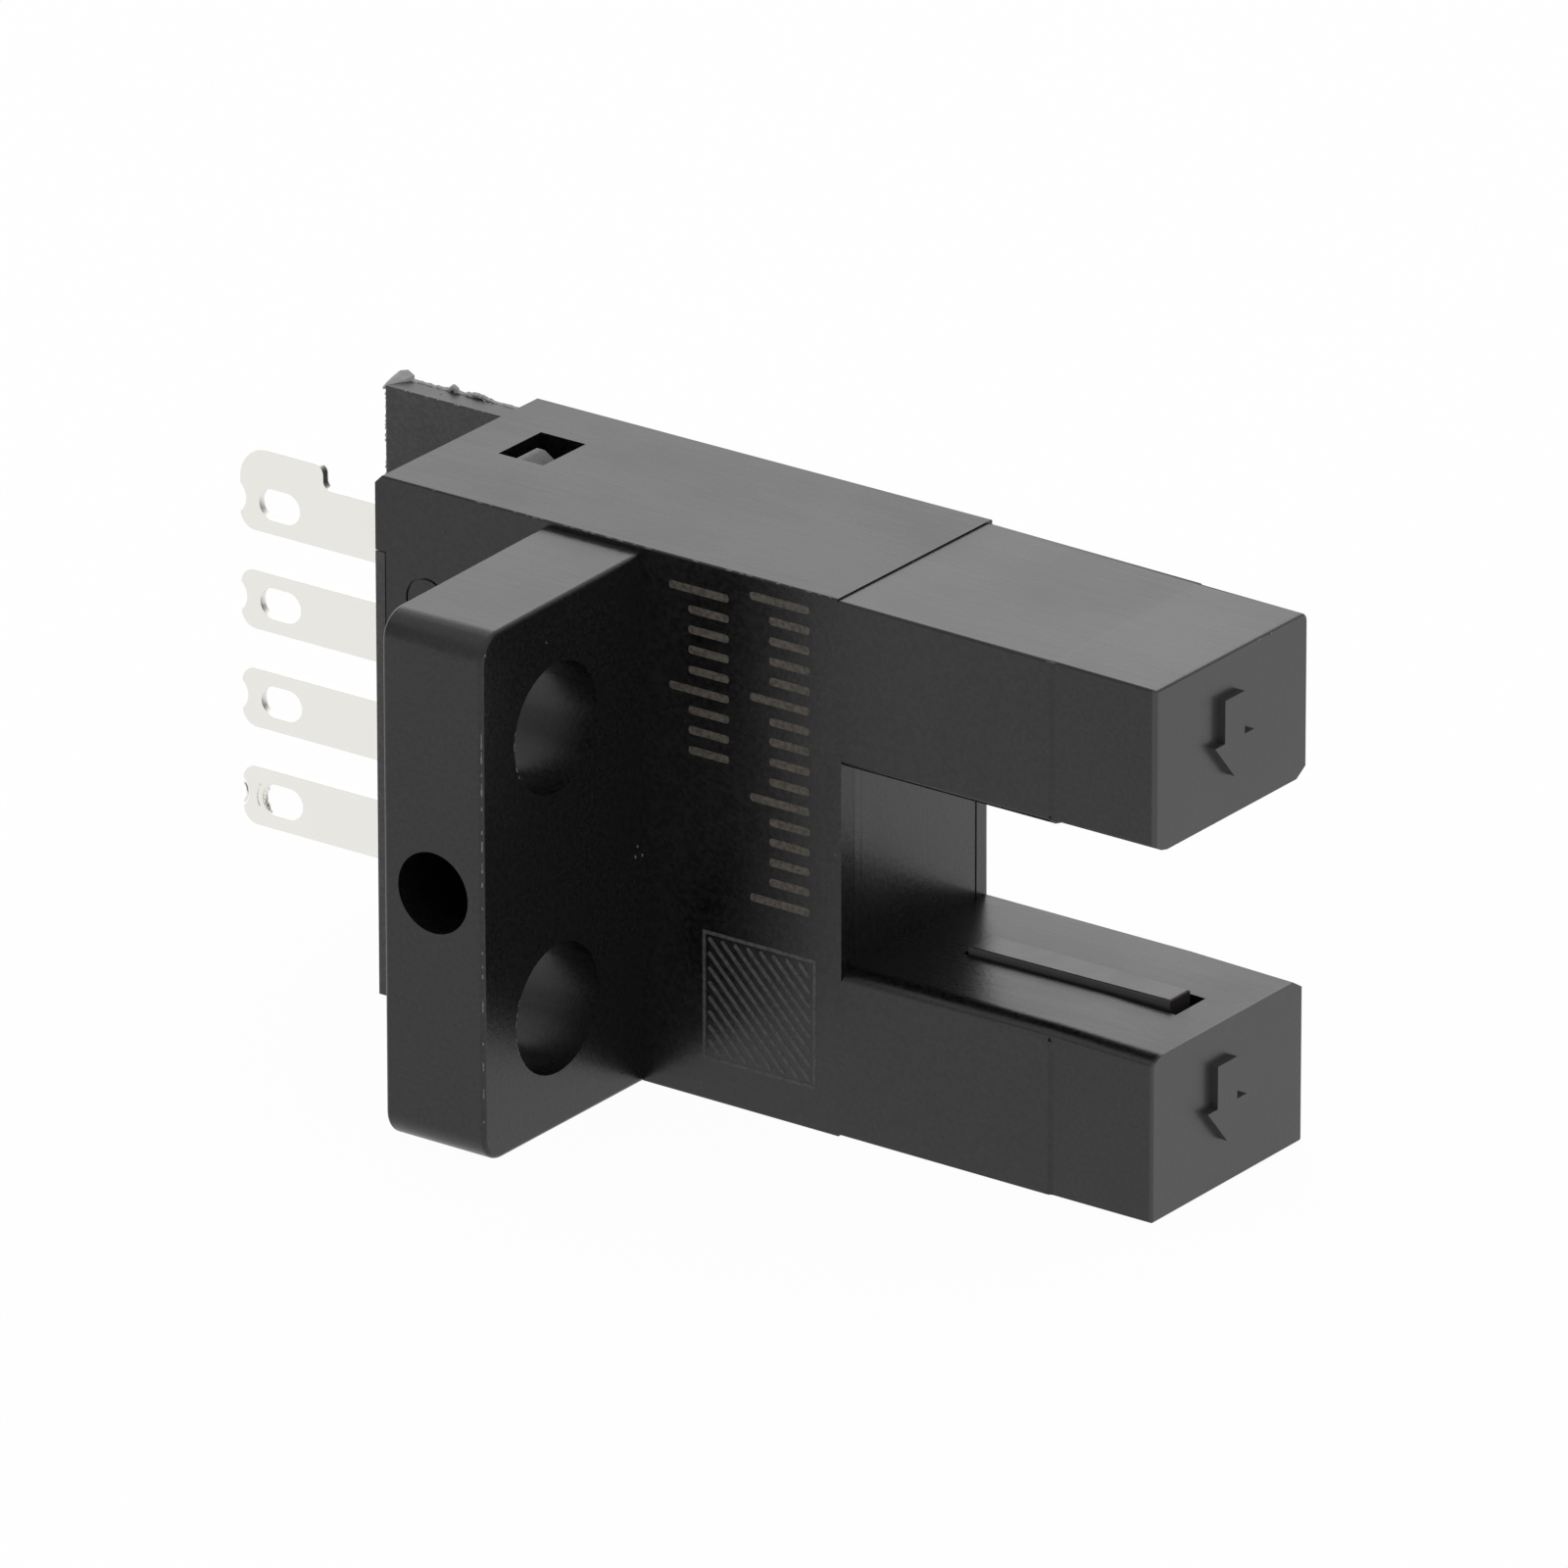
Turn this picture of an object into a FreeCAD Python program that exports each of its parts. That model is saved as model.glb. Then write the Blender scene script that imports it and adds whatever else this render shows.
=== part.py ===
import FreeCAD, Part
import os

# Slot-type photomicrosensor: a U-shaped black housing with two arms, a side flange with two
# screw holes, and four solder tabs at the rear. The beam crosses the slot from the upper arm
# to the lower one.
# Frame: origin midway between the two flange holes, on the flange's rear face. +X runs to
# the tips of the arms, +Y away from the flange, +Z up. Millimetres.

V = FreeCAD.Vector

# Housing, outside
body_length = 22.15       # rear end to the arm tips
rear_to_flange = 4.85
body_depth = 6.1
body_height = 13.4
slot_gap = 4.94           # between the arms; the tips stand a little wider apart
slot_depth = 8.75
slot_drop = 0.025         # from the housing's mid height down to the slot's
arm_start = 8.9           # from the tips; the rear part's full height ends here
arm_step = 0.04           # the upper arm starts this much below the rear part's top
arm_draft = 0.13          # and falls this much further on its way to the tip
arm_step_below = 0.045    # the lower arm's underside lies this much above the rear part's
tip_step = 0.05           # the tip blocks are this much narrower at each side
tip_slot_step = 0.067     # and stand this much further from the slot's mid-plane
lower_tip_back = 0.05     # the lower tip ends this much before the upper one
tip_length = 2.95
edge_round = 0.05         # on the rear part
arm_round = 0.06
arm_round_far = 0.22      # on the +Y edge of the upper arm
slot_bevel_far = 0.28     # bevel of the slot's edge on the +Y side
slot_bevel_run = 0.45
slot_round_near = 0.35    # the slot's edge on the near side is round
slot_round_run = 0.62
rear_chamfer = 0.2

# Flange
flange_thickness = 2.85
flange_reach = 6.2
flange_top_drop = 0.16    # at the housing
flange_top_fall = 0.15    # from the housing to the flange's outer edge
flange_corner_radius = 0.7
flange_edge_round = 0.12
flange_hole_radius = 1.6
flange_hole_pitch = 7.0
flange_hole_margin = 2.85 # from the flange's outer edge to the hole centres
flange_hole_drop = 0.2    # from the slot's mid-plane down to the middle of the holes
side_hole_radius = 1.0
side_hole_depth = 4.0

# Housing, inside
side_wall = 0.8
slot_wall = 1.2           # between the main cavity and the slot
tip_wall = 1.0
arm_inner_wall = 0.8
ejector_radius = 0.6      # shallow ring left by the mould's ejector pin
ejector_ring = 0.05
ejector_depth = 0.05
ejector_from_rear = 1.48
ejector_height = 3.84

# Window bars on the arms' inner faces, measured from the tips and about mid depth
window_slot_from_tip = 1.1
window_slot_end = 7.1
window_slot_width = 1.2
window_bar_from_tip = 1.4
window_bar_width = 0.8    # at the tips' end
window_bar_splay = 0.12   # wider by this much, on the near side, at the other end
window_proud = 0.15       # the bar stands this far into the slot
window_plate_side_gap = 0.6
window_plate_thickness = 0.3

# Raised arrows on the tips' end faces: places of the two shoulders from mid depth and from
# mid height, and the arrow's reach above and below its shoulders
arrow_upper = (-0.17, 4.48)
arrow_lower = (-0.29, -4.55)
arrow_shaft_width = 0.78
arrow_head_width = 1.56
arrow_shaft_reach = 1.06
arrow_tip_reach = 0.92
arrow_height = 0.2

# Rear base: rim, plug, latch barbs, guard plate
rim_thickness = 0.3
rim_top_drop = 1.88
rim_bottom_rise = 0.3
seam = 0.03
plug_length = 2.65
plug_clearance = 0.05
latch_from_rear = 2.2
latch_offset = 0.5        # from mid depth, away from the flange
latch_length = 1.3
latch_width = 1.66
barb_top_drop = 0.03      # the barb's crest lies this far below the housing's top
barb_rear_gap = 0.48      # from the window's rear edge to the barb
barb_crest = 0.22         # length of the crest, before the ramp starts
barb_ramp_drop = 0.35
barb_width = 0.82
barb_clearance = 0.04
guard_thickness = 0.7
guard_from_far = 0.35
guard_reach = 3.49
guard_top_drop = 0.2
guard_foot_drop = 0.9

# Terminals
terminal_pitch = 2.5
terminal_width = 1.5
terminal_thickness = 0.25
terminal_reach = 6.19     # beyond the rear end
terminal_corner = 0.42
terminal_hole_length = 1.2
terminal_hole_width = 0.78
terminal_hole_from_tip = 1.16
terminal_notch_chord = 0.72
terminal_notch_depth = 0.17
terminal_slot_clearance = 0.02
terminal_tail = 2.1       # past the plug, on the board
ear_height = 0.6
ear_length = 2.45

# Board and what sits on it
board_thickness = 0.8
board_edge_gap = 0.2
board_front_gap = 0.1
lead_width_share = 0.19   # of the optical package's height
lead_pad = 2.0
solder_run = 0.35
optic_length = 3.6
optic_side_gap = 0.7
optic_gap = 0.05
optic_from_tip = 3.75     # beam axis to the arm tips
lens_radius = 0.75
lens_height = 0.22
lens_clearance = 0.04
control_chip_side = 3.0
control_chip_share = 0.4  # thickness, as a share of the room in front of the board
lamp_length = 1.6
lamp_width = 0.8
lamp_share = 0.27
resistor_length = 1.6
resistor_width = 0.8
resistor_share = 0.35     # thickness, as a share of the room behind the board
capacitor_length = 2.0
capacitor_width = 1.25
capacitor_share = 0.7
diode_length = 2.5
diode_width = 1.25
diode_share = 0.63
transistor_length = 2.9
transistor_width = 1.3
transistor_lift = 0.1
transistor_share = 0.72
transistor_lead_width = 0.4
transistor_lead_metal = 0.12
transistor_lead_foot = 0.55
transistor_lead_spread = 0.95

# Places that follow from the sizes above
rear_x = -rear_to_flange
tip_x = rear_x + body_length
slot_x = tip_x - slot_depth
arm_x = tip_x - arm_start
near_y = flange_reach - flange_hole_margin
far_y = near_y + body_depth
middle_y = near_y + body_depth / 2
top_z = body_height / 2
arm_top_z = top_z - arm_step
tip_top_z = arm_top_z - arm_draft
cavity_y = (near_y + side_wall, far_y - side_wall)
cavity_top = top_z - side_wall
arm_cavity_low = slot_gap / 2 + arm_inner_wall
arm_cavity_top = tip_top_z - side_wall
plug_front = rear_x + rim_thickness + plug_length
terminal_y = middle_y - terminal_thickness / 2
board_y = terminal_y + terminal_thickness
board_front = slot_x - slot_wall - board_front_gap
board_top = cavity_top - board_edge_gap
board_rear = plug_front + plug_clearance
front_room = board_y - cavity_y[0]
back_room = cavity_y[1] - board_y - board_thickness
beam_x = tip_x - optic_from_tip
optic_y = middle_y
optic_rear = beam_x - optic_length / 2
optic_low = arm_cavity_low + window_plate_thickness
optic_top = arm_cavity_top - optic_gap
lead_width = (optic_top - optic_low) * lead_width_share


def block(x, y, z):
    """Box between the two ends given on each axis."""
    low = V(min(x), min(y), min(z))
    return Part.makeBox(max(x) - low.x, max(y) - low.y, max(z) - low.z, low)


def prism(points, direction):
    """Closed outline of points pushed along a direction."""
    corners = [V(*p) for p in points]
    return Part.Face(Part.makePolygon(corners + corners[:1])).extrude(V(*direction))


def frustum(first, second):
    """Solid between two outlines with the same number of corners."""
    wires = []
    for points in (first, second):
        corners = [V(*p) for p in points]
        wires.append(Part.makePolygon(corners + corners[:1]))
    return Part.makeLoft(wires, True, True)


def round_edges(shape, radius, wanted):
    """Rounds the straight edges whose two ends satisfy wanted(first, last)."""
    edges = [e for e in shape.Edges if wanted(e.Vertexes[0].Point, e.Vertexes[-1].Point)]
    return shape.makeFillet(radius, edges)


def along_x(a, b):
    return abs(a.y - b.y) < 1e-6 and abs(a.z - b.z) < 1e-6


def mirror_z(shape):
    return shape.mirror(V(0, 0, 0), V(0, 0, 1))


def save(name, shape):
    """Writes a solid. All are drawn about the slot's mid-plane; the frame's is the holes' middle."""
    shape = shape.removeSplitter()
    shape.translate(V(0, 0, flange_hole_drop))
    if not shape.isValid():
        raise ValueError(name + " isn't a valid solid")
    if len(shape.Solids) != 1:
        raise ValueError(name + " is %d solids" % len(shape.Solids))
    shape.Solids[0].exportStep("parts/" + name + ".step")


def slot_outline(x, y, wider, step=0.0, fall=0.0):
    """Outline at y of the slot from x on, made wider by this much: with a step up at the upper
    side, and at the lower side a fall along the tip."""
    half = slot_gap / 2 + wider
    return [(x, y, -slot_drop - half), (tip_x + 1, y, -slot_drop - half - fall),
            (tip_x + 1, y, half + step - slot_drop), (x, y, half + step - slot_drop)]


def slot_piece(y_first, wider_first, y_last, wider_last):
    """Solid of the slot from one y to another: between the arms, and between the tips."""
    start = tip_x - tip_length
    fall = tip_slot_step * (tip_length + 1) / tip_length
    arms = frustum(slot_outline(slot_x - wider_first, y_first, wider_first),
                   slot_outline(slot_x - wider_last, y_last, wider_last))
    tips = frustum(slot_outline(start, y_first, wider_first, tip_slot_step, fall),
                   slot_outline(start, y_last, wider_last, tip_slot_step, fall))
    return [arms, tips]


def slot_bevel(y_inside, y_face, size):
    """Widening of the slot's mouth at one side face."""
    ratio = 1.2           # runs past the side face, so that the cut is clean
    return slot_piece(y_inside, 0, y_inside + (y_face - y_inside) * ratio, size * ratio)


def lengthwise(a, b):
    return abs(a.y - b.y) < 1e-6 and abs(a.x - b.x) > 1


def arm_block(x, y, low, slope):
    """Arms from x[0] to x[1]: level below, and above falling towards the tips by slope."""
    x0, x1 = x
    high = arm_top_z - (x0 - arm_x) * slope, arm_top_z - (x1 - arm_x) * slope
    return prism([(x0, y[0], low), (x1, y[0], low), (x1, y[0], high[1]), (x0, y[0], high[0])],
                 (0, y[1] - y[0], 0))


def far_top(a, b):
    return lengthwise(a, b) and a.y > middle_y and a.z > 0


def still_sharp(a, b):
    """The three other long edges, once the far top one is round."""
    return lengthwise(a, b) and (a.y < middle_y or a.z < 0)


def housing_outside():
    rear = round_edges(block((rear_x, arm_x), (near_y, far_y), (-top_z, top_z)), edge_round, along_x)
    rear = rear.cut(prism([(rear_x, near_y - 1, top_z - rear_chamfer),
                           (rear_x + rear_chamfer, near_y - 1, top_z),
                           (rear_x - 1, near_y - 1, top_z + 1)], (0, body_depth + 2, 0)))
    slope = arm_draft / arm_start
    low = -top_z + arm_step_below
    arms = arm_block((arm_x - 1, tip_x - tip_length), (near_y, far_y), low, slope)
    arms = round_edges(arms, arm_round_far, far_top)
    arms = round_edges(arms, arm_round, still_sharp)
    body = rear.fuse(arms)
    for way, end in ((1, tip_x), (-1, tip_x - lower_tip_back)):
        tip = arm_block((slot_x, end), (near_y + tip_step, far_y - tip_step), low, slope)
        tip = round_edges(tip, arm_round_far, far_top)
        tip = round_edges(tip, arm_round,
                          lambda a, b: still_sharp(a, b) or abs(a.x - end) + abs(b.x - end) < 1e-6)
        body = body.fuse(tip.common(block((slot_x, end), (near_y, far_y), (0, way * top_z))))
    body = body.cut(slot_piece(near_y - 1, 0, far_y + 1, 0))
    body = body.cut(slot_bevel(far_y - slot_bevel_run, far_y, slot_bevel_far))
    # Three flats that touch the round edge's curve, each given by its two reaches
    for run, size in ((0.332, 0.801), (0.586, 0.586), (0.801, 0.332)):
        body = body.cut(slot_bevel(near_y + run * slot_round_run, near_y, size * slot_round_near))
    return body


def flange():
    outer_y, inner_y = near_y - flange_reach, near_y + side_wall / 2
    slope = flange_top_fall / flange_reach
    high = top_z - flange_top_drop
    plate = prism([(0, outer_y, -top_z), (0, inner_y, -top_z), (0, inner_y, high + slope * (inner_y - near_y)),
                   (0, outer_y, high - flange_top_fall)], (flange_thickness, 0, 0))
    plate = round_edges(plate, flange_corner_radius,
                        lambda a, b: along_x(a, b) and abs(a.y - outer_y) < 1e-6)
    plate = round_edges(plate, flange_edge_round,
                        lambda a, b: abs(a.x - b.x) < 1e-6 and min(a.y, b.y) < near_y
                        and min(abs(a.x), abs(a.x - flange_thickness)) < 1e-6)
    for side in (-1, 1):
        start = V(-1, 0, side * flange_hole_pitch / 2 - flange_hole_drop)
        plate = plate.cut(Part.makeCylinder(flange_hole_radius, flange_thickness + 2, start, V(1, 0, 0)))
    start = V(flange_thickness / 2, outer_y - 1, -flange_hole_drop)
    return plate.cut(Part.makeCylinder(side_hole_radius, side_hole_depth + 1, start, V(0, 1, 0)))


def arrow(place, end):
    """Raised arrow on a tip's end face, which shows the beam's way from the upper arm to the lower."""
    x, y, z = end - tip_wall / 2, middle_y + place[0], place[1]
    shaft, head = arrow_shaft_width / 2, arrow_head_width / 2
    outline = [(-shaft, arrow_shaft_reach), (shaft, arrow_shaft_reach), (shaft, 0), (head, 0),
               (0, -arrow_tip_reach), (-head, 0), (-shaft, 0)]
    return prism([(x, y + dy, z + dz) for dy, dz in outline], (tip_wall / 2 + arrow_height, 0, 0))


def housing_inside():
    """Main cavity, open at the rear, and one cavity in each arm."""
    hollow = block((rear_x - 1, slot_x - slot_wall), cavity_y, (-cavity_top, cavity_top))
    arm = block((slot_x - slot_wall - 1, tip_x - tip_wall), cavity_y, (arm_cavity_low, arm_cavity_top))
    window = block((tip_x - window_slot_end, tip_x - window_slot_from_tip),
                   (middle_y - window_slot_width / 2, middle_y + window_slot_width / 2),
                   (slot_gap / 2 - 1, arm_cavity_low + 0.1))
    latch = block((rear_x + latch_from_rear - latch_length / 2, rear_x + latch_from_rear + latch_length / 2),
                  (middle_y + latch_offset - latch_width / 2, middle_y + latch_offset + latch_width / 2),
                  (cavity_top - 0.1, top_z + 1))
    upper = arm.fuse([window, latch])
    return hollow.fuse([upper, mirror_z(upper)])


def rim_recess():
    """Step in the housing's rear end that the base's rim fills."""
    return block((rear_x - 1, rear_x + rim_thickness), (near_y - 1, far_y + 1),
                 (-top_z - 1, top_z - rim_top_drop))


def ejector_mark():
    place = V(rear_x + ejector_from_rear, near_y + ejector_depth, ejector_height)
    disc = Part.makeCylinder(ejector_radius, ejector_depth + 1, place, V(0, -1, 0))
    return disc.cut(Part.makeCylinder(ejector_radius - ejector_ring, ejector_depth + 1, place, V(0, -1, 0)))


def make_case():
    case = housing_outside().fuse([flange(), arrow(arrow_upper, tip_x),
                                   arrow(arrow_lower, tip_x - lower_tip_back)])
    return case.cut([housing_inside(), rim_recess(), ejector_mark()])


def latch_barb():
    """Barb in the latch window: upright at the rear, where it catches, and sloped to the front."""
    low = cavity_top - plug_clearance - 0.1
    high = top_z - barb_top_drop
    x0 = rear_x + latch_from_rear - latch_length / 2 + barb_rear_gap
    x1 = rear_x + latch_from_rear + latch_length / 2 - barb_clearance
    y0 = middle_y + latch_offset - latch_width / 2 + barb_clearance
    return prism([(x0, y0, low), (x1, y0, low), (x1, y0, high - barb_ramp_drop), (x0 + barb_crest, y0, high),
                  (x0, y0, high)], (0, barb_width, 0))


def terminal_slot(z):
    c = terminal_slot_clearance
    return block((rear_x - 1, plug_front + 1), (terminal_y - c, terminal_y + terminal_thickness + c),
                 (z - terminal_width / 2 - c, z + terminal_width / 2 + c))


def make_terminal_base():
    c = plug_clearance
    rim = block((rear_x, rear_x + rim_thickness - seam), (near_y, far_y),
                (-top_z + rim_bottom_rise, top_z - rim_top_drop - seam))
    inside = block((rear_x, plug_front), (cavity_y[0] + c, cavity_y[1] - c),
                   (-cavity_top + c, cavity_top - c))
    guard_y = far_y - guard_from_far - guard_thickness
    guard = block((rear_x - guard_reach, rear_x), (guard_y, guard_y + guard_thickness),
                  (-top_z + guard_foot_drop, top_z - guard_top_drop))
    rear_face = block((rear_x - 0.2, rear_x), (cavity_y[0] + c, guard_y + guard_thickness),
                      (-top_z + guard_foot_drop, cavity_top - c))
    base = rim.fuse([inside, guard, rear_face, latch_barb(), mirror_z(latch_barb())])
    for n in range(4):
        base = base.cut(terminal_slot(terminal_z(n)))
    return base


def terminal_z(n):
    return (1.5 - n) * terminal_pitch


def make_terminal(n):
    """Flat tab with rounded, notched end and an oblong wire hole; its tail lies on the board."""
    z = terminal_z(n)
    tip = rear_x - terminal_reach
    half = terminal_width / 2
    deep = (0, terminal_thickness, 0)
    top = half + (ear_height if n == 0 else 0)
    tab = block((tip, plug_front + terminal_tail), (terminal_y, terminal_y + terminal_thickness),
                (z - half, z + half))
    if n == 0:
        ear = block((tip, tip + ear_length), (terminal_y, terminal_y + terminal_thickness),
                    (z, z + top))
        tab = tab.fuse(ear).removeSplitter()
    corner = terminal_corner * (2.0 if n == 0 else 1.0)
    tab = round_edges(tab, corner, lambda a, b: abs(a.x - tip) + abs(b.x - tip) < 1e-6
                      and abs(a.z - z - top) + abs(b.z - z - top) < 1e-6)
    tab = round_edges(tab, terminal_corner, lambda a, b: abs(a.x - tip) + abs(b.x - tip) < 1e-6
                      and abs(a.z - z + half) + abs(b.z - z + half) < 1e-6)
    if n == 0:
        tab = round_edges(tab, ear_height * 0.45, lambda a, b: abs(a.x - tip - ear_length) < 1e-6
                          and abs(b.x - tip - ear_length) < 1e-6
                          and abs(a.z - z - top) + abs(b.z - z - top) < 1e-6)
        tab = round_edges(tab, ear_height * 0.35, lambda a, b: abs(a.x - tip - ear_length) < 1e-6
                          and abs(b.x - tip - ear_length) < 1e-6
                          and abs(a.z - z - half) + abs(b.z - z - half) < 1e-6)
    r = terminal_hole_width / 2
    run = terminal_hole_length / 2 - r
    x = tip + terminal_hole_from_tip
    hole = block((x - run, x + run), (terminal_y, terminal_y + terminal_thickness), (z - r, z + r))
    for side in (-1, 1):
        hole = hole.fuse(Part.makeCylinder(r, terminal_thickness, V(x + side * run, terminal_y, z), V(*deep)))
    chord, depth = terminal_notch_chord / 2, terminal_notch_depth
    notch_r = (chord * chord + depth * depth) / (2 * depth)
    notch = Part.makeCylinder(notch_r, terminal_thickness, V(tip + depth - notch_r, terminal_y, z), V(*deep))
    return tab.cut([hole, notch])


def make_window():
    """Dark resin bar that fills the upper arm's inner slot, on a plate inside the arm."""
    x = (tip_x - window_slot_end + 0.1, tip_x - window_bar_from_tip)
    low = slot_gap / 2 - window_proud
    near, far = optic_y - window_bar_width / 2, optic_y + window_bar_width / 2
    bar = prism([(x[0], near - window_bar_splay, low), (x[1], near, low), (x[1], far, low), (x[0], far, low)],
                (0, 0, arm_cavity_low + 0.1 - low))
    plate = block((tip_x - window_slot_end - 0.4, tip_x - tip_wall - optic_gap),
                  (cavity_y[0] + window_plate_side_gap, cavity_y[1] - window_plate_side_gap),
                  (arm_cavity_low, optic_low))
    window = bar.fuse(plate)
    return window.cut(Part.makeCylinder(lens_radius + lens_clearance, 1,
                                        V(beam_x, optic_y, optic_low - lens_height - lens_clearance)))


def make_optic():
    """Side-looking moulded device with a round lens that faces the slot."""
    body = block((optic_rear, optic_rear + optic_length),
                 (cavity_y[0] + optic_side_gap, cavity_y[1] - optic_side_gap), (optic_low, optic_top))
    lens = Part.makeCylinder(lens_radius, lens_height + 0.2, V(beam_x, optic_y, optic_low - lens_height))
    return body.fuse(lens)


def lead_heights(count):
    middle = (optic_low + optic_top) / 2
    step = lead_width * 2.0
    return [middle + step * k for k in ((-1, 1) if count == 2 else (-1, 0, 1))]


def make_lead(z):
    return block((board_front - lead_pad, optic_rear), (terminal_y, board_y),
                 (z - lead_width / 2, z + lead_width / 2))


def make_solder(x, z, width):
    """Fillet of solder between the end of a lead, which faces x, and the board."""
    run = solder_run if x < board_front / 2 else -solder_run
    height = terminal_thickness * 0.9
    return prism([(x, board_y, z - width / 2), (x + run, board_y, z - width / 2),
                  (x, board_y - height, z - width / 2)], (0, 0, width))


def on_board(along, up):
    """Place on the board: along from 0 at the rear to 1 at the front, up from -1 to 1."""
    return board_rear + along * (board_front - board_rear), up * board_top


def chip(place, length, height, share, side):
    """Part on the board: side +1 is the far face, -1 the face with the terminals."""
    x, z = place
    y = board_y + board_thickness if side > 0 else board_y
    thickness = share * (back_room if side > 0 else front_room)
    return block((x - length / 2, x + length / 2), (y, y + side * thickness), (z - height / 2, z + height / 2))


def transistor_place():
    return on_board(0.73, -0.25)


def make_transistor():
    x, z = transistor_place()
    y = board_y + board_thickness + transistor_lift
    return block((x - transistor_length / 2, x + transistor_length / 2), (y, y + transistor_share * back_room),
                 (z - transistor_width / 2, z + transistor_width / 2))


def make_transistor_lead(shift, way):
    """Bent lead: a foot on the board and a rise against the package's side."""
    x, z = transistor_place()
    x, z = x + shift, z + way * transistor_width / 2
    y = board_y + board_thickness
    half = transistor_lead_width / 2
    foot = block((x - half, x + half), (y, y + transistor_lead_metal), (z, z + way * transistor_lead_foot))
    rise = block((x - half, x + half), (y, y + transistor_lift + transistor_share * back_room / 2),
                 (z, z + way * transistor_lead_metal))
    return foot.fuse(rise)


def save_optics():
    save("emitter_window", make_window())
    save("receiver_window", mirror_z(make_window()))
    save("emitter", make_optic())
    save("receiver", mirror_z(make_optic()))
    pad_x = board_front - lead_pad
    for name, count, way in (("emitter", 2, 1), ("receiver", 3, -1)):
        for k, z in enumerate(lead_heights(count)):
            save("%s_lead_%d" % (name, k + 1), make_lead(way * z))
            save("%s_solder_%d" % (name, k + 1), make_solder(pad_x, way * z, lead_width))


def save_board():
    save("circuit_board", block((board_rear, board_front), (board_y, board_y + board_thickness),
                                (-board_top, board_top)))
    save("control_chip", chip(on_board(0.47, 0.0), control_chip_side, control_chip_side, control_chip_share, -1))
    save("indicator_led", chip(on_board(0.5, 0.87), lamp_length, lamp_width, lamp_share, -1))
    save("led_resistor", chip(on_board(0.3, 0.68), resistor_length, resistor_width, resistor_share, 1))
    save("bias_resistor", chip(on_board(0.3, 0.42), resistor_length, resistor_width, resistor_share, 1))
    save("supply_capacitor", chip(on_board(0.68, 0.63), capacitor_length, capacitor_width, capacitor_share, 1))
    save("reverse_diode", chip(on_board(0.35, -0.03), diode_length, diode_width, diode_share, 1))
    save("surge_diode", chip(on_board(0.35, -0.42), diode_length, diode_width, diode_share, 1))
    save("output_transistor", make_transistor())
    save("transistor_lead_1", make_transistor_lead(-transistor_lead_spread, -1))
    save("transistor_lead_2", make_transistor_lead(transistor_lead_spread, -1))
    save("transistor_lead_3", make_transistor_lead(0.0, 1))


def make_all():
    os.makedirs("parts", exist_ok=True)
    save("case", make_case())
    save("terminal_base", make_terminal_base())
    for n in range(4):
        save("terminal_%d" % (n + 1), make_terminal(n))
        save("terminal_solder_%d" % (n + 1),
             make_solder(plug_front + terminal_tail, terminal_z(n), terminal_width * 0.9))
    save_board()
    save_optics()


make_all()
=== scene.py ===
# %% [markdown]
# # A slot photomicrosensor
# This sensor is a black moulded housing with two arms. Light crosses the slot between them, and
# a thin plate that passes through the slot cuts the beam. This lesson dresses the sensor's
# solids: it adds the finish of each material and the small marks of moulding and marking.
# The solids come in first, because every later piece sits on them.

# %% Load the solids
import math
import random
import bpy
import bmesh
from mathutils import Matrix, Vector, noise


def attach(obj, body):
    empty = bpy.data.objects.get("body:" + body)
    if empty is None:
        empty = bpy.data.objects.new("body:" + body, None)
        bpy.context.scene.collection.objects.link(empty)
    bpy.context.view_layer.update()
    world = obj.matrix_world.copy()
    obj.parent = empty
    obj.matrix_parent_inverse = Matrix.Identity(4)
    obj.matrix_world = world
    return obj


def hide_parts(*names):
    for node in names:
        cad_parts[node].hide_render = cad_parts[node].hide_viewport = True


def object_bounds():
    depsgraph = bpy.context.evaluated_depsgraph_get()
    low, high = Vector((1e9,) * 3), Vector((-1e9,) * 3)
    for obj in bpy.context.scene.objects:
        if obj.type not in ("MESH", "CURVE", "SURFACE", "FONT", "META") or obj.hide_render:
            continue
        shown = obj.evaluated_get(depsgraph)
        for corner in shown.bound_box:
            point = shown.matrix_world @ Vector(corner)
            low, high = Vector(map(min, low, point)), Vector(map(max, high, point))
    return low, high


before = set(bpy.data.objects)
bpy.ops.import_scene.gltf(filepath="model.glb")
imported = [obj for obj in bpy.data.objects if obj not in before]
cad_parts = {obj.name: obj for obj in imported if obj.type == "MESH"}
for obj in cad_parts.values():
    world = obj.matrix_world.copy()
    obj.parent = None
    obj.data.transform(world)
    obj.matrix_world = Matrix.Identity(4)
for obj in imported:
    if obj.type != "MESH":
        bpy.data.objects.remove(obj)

solid_box = [list(corner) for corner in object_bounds()]
MM = 0.001
print("solids:", len(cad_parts), "box:", solid_box)

# %% [markdown]
# ## The camera
# The photograph was taken from far away with a long lens, so parallel edges stay almost
# parallel. Its place is given the way a photographer would say it: how far round the
# object, how high, how far away, and how long the lens. Azimuth 0 looks along +Y.

# %% Camera
CAMERA_AZIMUTH = 36.046
CAMERA_ELEVATION = 22.472
CAMERA_ROLL = -0.063
CAMERA_DISTANCE = 511.5 * MM
CAMERA_TARGET = Vector((4.700, 6.35, 0.425)) * MM
CAMERA_LENS = 506.6          # for a 36 mm wide sensor
CLIP_NEAR, CLIP_FAR = 0.05, 20


def turn_of(back, roll):
    """Rotation of a camera whose rear points along back, turned by roll about it."""
    right = Vector((0, 0, 1)).cross(back).normalized()
    up = back.cross(right)
    c, s = math.cos(roll), math.sin(roll)
    across, above = c * right + s * up, c * up - s * right
    return Matrix((across, above, back)).transposed().to_euler()


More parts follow.
